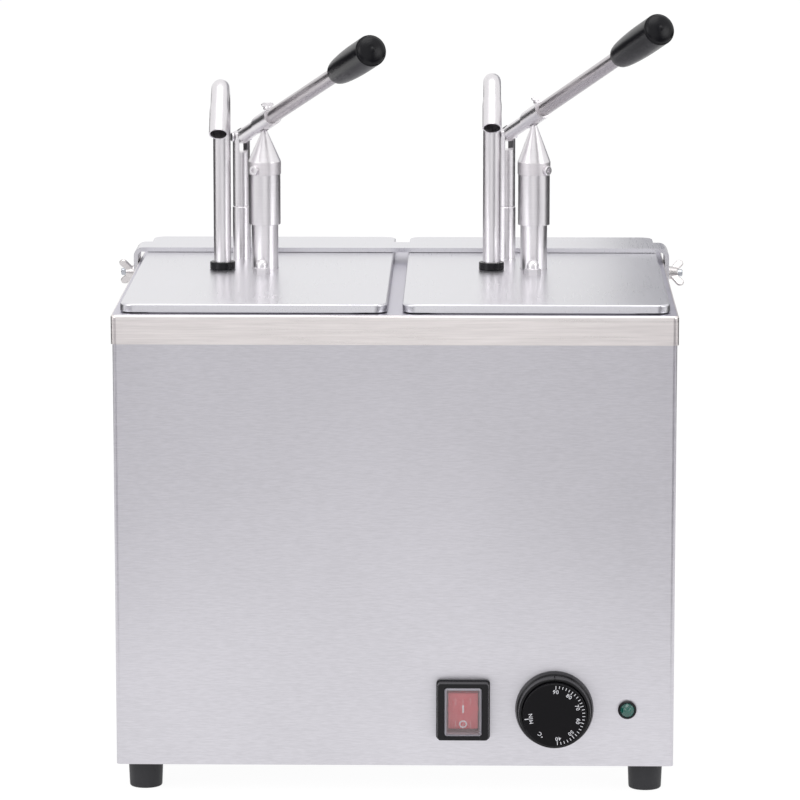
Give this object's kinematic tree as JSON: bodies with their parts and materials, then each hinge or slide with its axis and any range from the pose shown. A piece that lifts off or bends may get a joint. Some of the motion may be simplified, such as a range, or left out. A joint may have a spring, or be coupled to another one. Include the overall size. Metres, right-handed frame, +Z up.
{
  "type": "hot topping warmer",
  "caption": "Stainless water-bath topping warmer: box cabinet with two lidded pans, a hold-down bar and two lever pumps with hooked spouts.",
  "frame": {"origin": "centre of the cabinet's footprint, on the worktop under its feet", "axes": "+Z up, +X to the user's right, front of the cabinet towards -Y"},
  "size_m": [0.3998, 0.3985, 0.5202],
  "materials": {
    "polished_steel": "polished stainless",
    "brushed_sheet": "brushed stainless sheet",
    "plain_sheet": "mill finish",
    "satin_sheet": "satin stainless",
    "sheathed_tube": "oxidised sheath",
    "plated_steel": "zinc plate",
    "black_moulding": "fine moulded",
    "gloss_black": "polished",
    "red_moulding": "moulded",
    "clear_cover": "clear flexible moulding",
    "green_lens": "faceted",
    "black_rubber": "moulded rubber"
  },
  "bodies": {
    "root": {"outer_casing": "brushed_sheet", "back_panel": "brushed_sheet", "base_plate": "plain_sheet", "top_deck": "brushed_sheet", "water_tank": "satin_sheet", "heating_element": "sheathed_tube", "thermostat_body": "plated_steel", "switch_housing": "black_moulding", "switch_cover": "clear_cover", "lamp_housing": "black_moulding", "lamp_lens": "green_lens", "cord_gland": "black_moulding", "feet": "black_rubber", "cabinet_screws": "plated_steel", "dial_bezel": "black_moulding", "bar_studs": "plated_steel"},
    "knob": {"thermostat_knob": "black_moulding", "thermostat_spindle": "plated_steel"},
    "rocker": {"switch_rocker": "red_moulding"},
    "bar": {"hold_down_bar": "satin_sheet"},
    "wing_left": {"wing_nut_left": "polished_steel"},
    "pan_left": {"pan_left": "satin_sheet"},
    "lid_left": {"lid_left": "satin_sheet", "pump_cylinder_left": "polished_steel", "pump_plate_left": "polished_steel", "dome_nut_left": "polished_steel", "spout_tube_left": "polished_steel", "spout_bushing_left": "black_moulding", "fulcrum_post_left": "polished_steel", "pivot_pin_left": "polished_steel", "valve_body_left": "polished_steel", "return_spring_left": "polished_steel"},
    "lever_left": {"lever_arm_left": "polished_steel", "lever_rod_left": "polished_steel", "lever_grip_left": "gloss_black", "lever_screw_left": "polished_steel"},
    "piston_left": {"piston_left": "polished_steel", "piston_sleeve_left": "polished_steel", "piston_cone_left": "polished_steel", "collar_screw_left": "polished_steel"},
    "wing_right": {"wing_nut_right": "polished_steel"},
    "pan_right": {"pan_right": "satin_sheet"},
    "lid_right": {"lid_right": "satin_sheet", "pump_cylinder_right": "polished_steel", "pump_plate_right": "polished_steel", "dome_nut_right": "polished_steel", "spout_tube_right": "polished_steel", "spout_bushing_right": "black_moulding", "fulcrum_post_right": "polished_steel", "pivot_pin_right": "polished_steel", "valve_body_right": "polished_steel", "return_spring_right": "polished_steel"},
    "lever_right": {"lever_arm_right": "polished_steel", "lever_rod_right": "polished_steel", "lever_grip_right": "gloss_black", "lever_screw_right": "polished_steel"},
    "piston_right": {"piston_right": "polished_steel", "piston_sleeve_right": "polished_steel", "piston_cone_right": "polished_steel", "collar_screw_right": "polished_steel"}
  },
  "joints": [
    {"name": "thermostat_turn", "type": "hinge", "parent": "root", "child": "knob", "pos_m": [0.1056, -0.1715, 0.058], "axis": [0, -1, 0], "range_deg": [0, 262]},
    {"name": "switch_rock", "type": "hinge", "parent": "root", "child": "rocker", "pos_m": [0.0453, -0.1715, 0.058], "axis": [-1, 0, 0], "range_deg": [0, 18]},
    {"name": "bar_lift", "type": "slide", "parent": "root", "child": "bar", "axis": [0, 0, 1], "range_m": [0, 0.42]},
    {"name": "wing_turn_left", "type": "hinge", "parent": "root", "child": "wing_left", "pos_m": [-0.1893, 0.097, 0.3112], "axis": [-1, 0, 0], "continuous": true},
    {"name": "lid_lift_left", "type": "slide", "parent": "root", "child": "lid_left", "axis": [0, 0, 1], "range_m": [0, 0.4]},
    {"name": "pan_lift_left", "type": "slide", "parent": "root", "child": "pan_left", "axis": [0, 0, 1], "range_m": [0, 0.2]},
    {"name": "lever_swing_left", "type": "hinge", "parent": "lid_left", "child": "lever_left", "pos_m": [-0.111, 0.054, 0.4124], "axis": [0.9379, 0.347, 0], "range_deg": [0, 31.5]},
    {"name": "piston_stroke_left", "type": "slide", "parent": "lid_left", "child": "piston_left", "axis": [0, 0, -1], "range_m": [0, 0.0302], "stiffness_N_per_m": 500, "springref_m": -0.03, "deforming": ["return_spring_left"]},
    {"name": "wing_turn_right", "type": "hinge", "parent": "root", "child": "wing_right", "pos_m": [0.1893, 0.097, 0.3112], "axis": [1, 0, 0], "continuous": true},
    {"name": "lid_lift_right", "type": "slide", "parent": "root", "child": "lid_right", "axis": [0, 0, 1], "range_m": [0, 0.4]},
    {"name": "pan_lift_right", "type": "slide", "parent": "root", "child": "pan_right", "axis": [0, 0, 1], "range_m": [0, 0.2]},
    {"name": "lever_swing_right", "type": "hinge", "parent": "lid_right", "child": "lever_right", "pos_m": [0.074, 0.054, 0.4143], "axis": [0.9379, 0.347, 0], "range_deg": [0, 31.4]},
    {"name": "piston_stroke_right", "type": "slide", "parent": "lid_right", "child": "piston_right", "axis": [0, 0, -1], "range_m": [0, 0.0302], "stiffness_N_per_m": 500, "springref_m": -0.03, "deforming": ["return_spring_right"]}
  ],
  "couplings": [
    {"joint": "lid_lift_left", "follows": "bar_lift", "ratio": 0.95},
    {"joint": "pan_lift_left", "follows": "bar_lift", "ratio": 0.4762},
    {"joint": "piston_stroke_left", "follows": "lever_swing_left", "m_per_rad": 0.054616},
    {"joint": "lid_lift_right", "follows": "bar_lift", "ratio": 0.95},
    {"joint": "pan_lift_right", "follows": "bar_lift", "ratio": 0.4762},
    {"joint": "piston_stroke_right", "follows": "lever_swing_right", "m_per_rad": 0.054593}
  ]
}
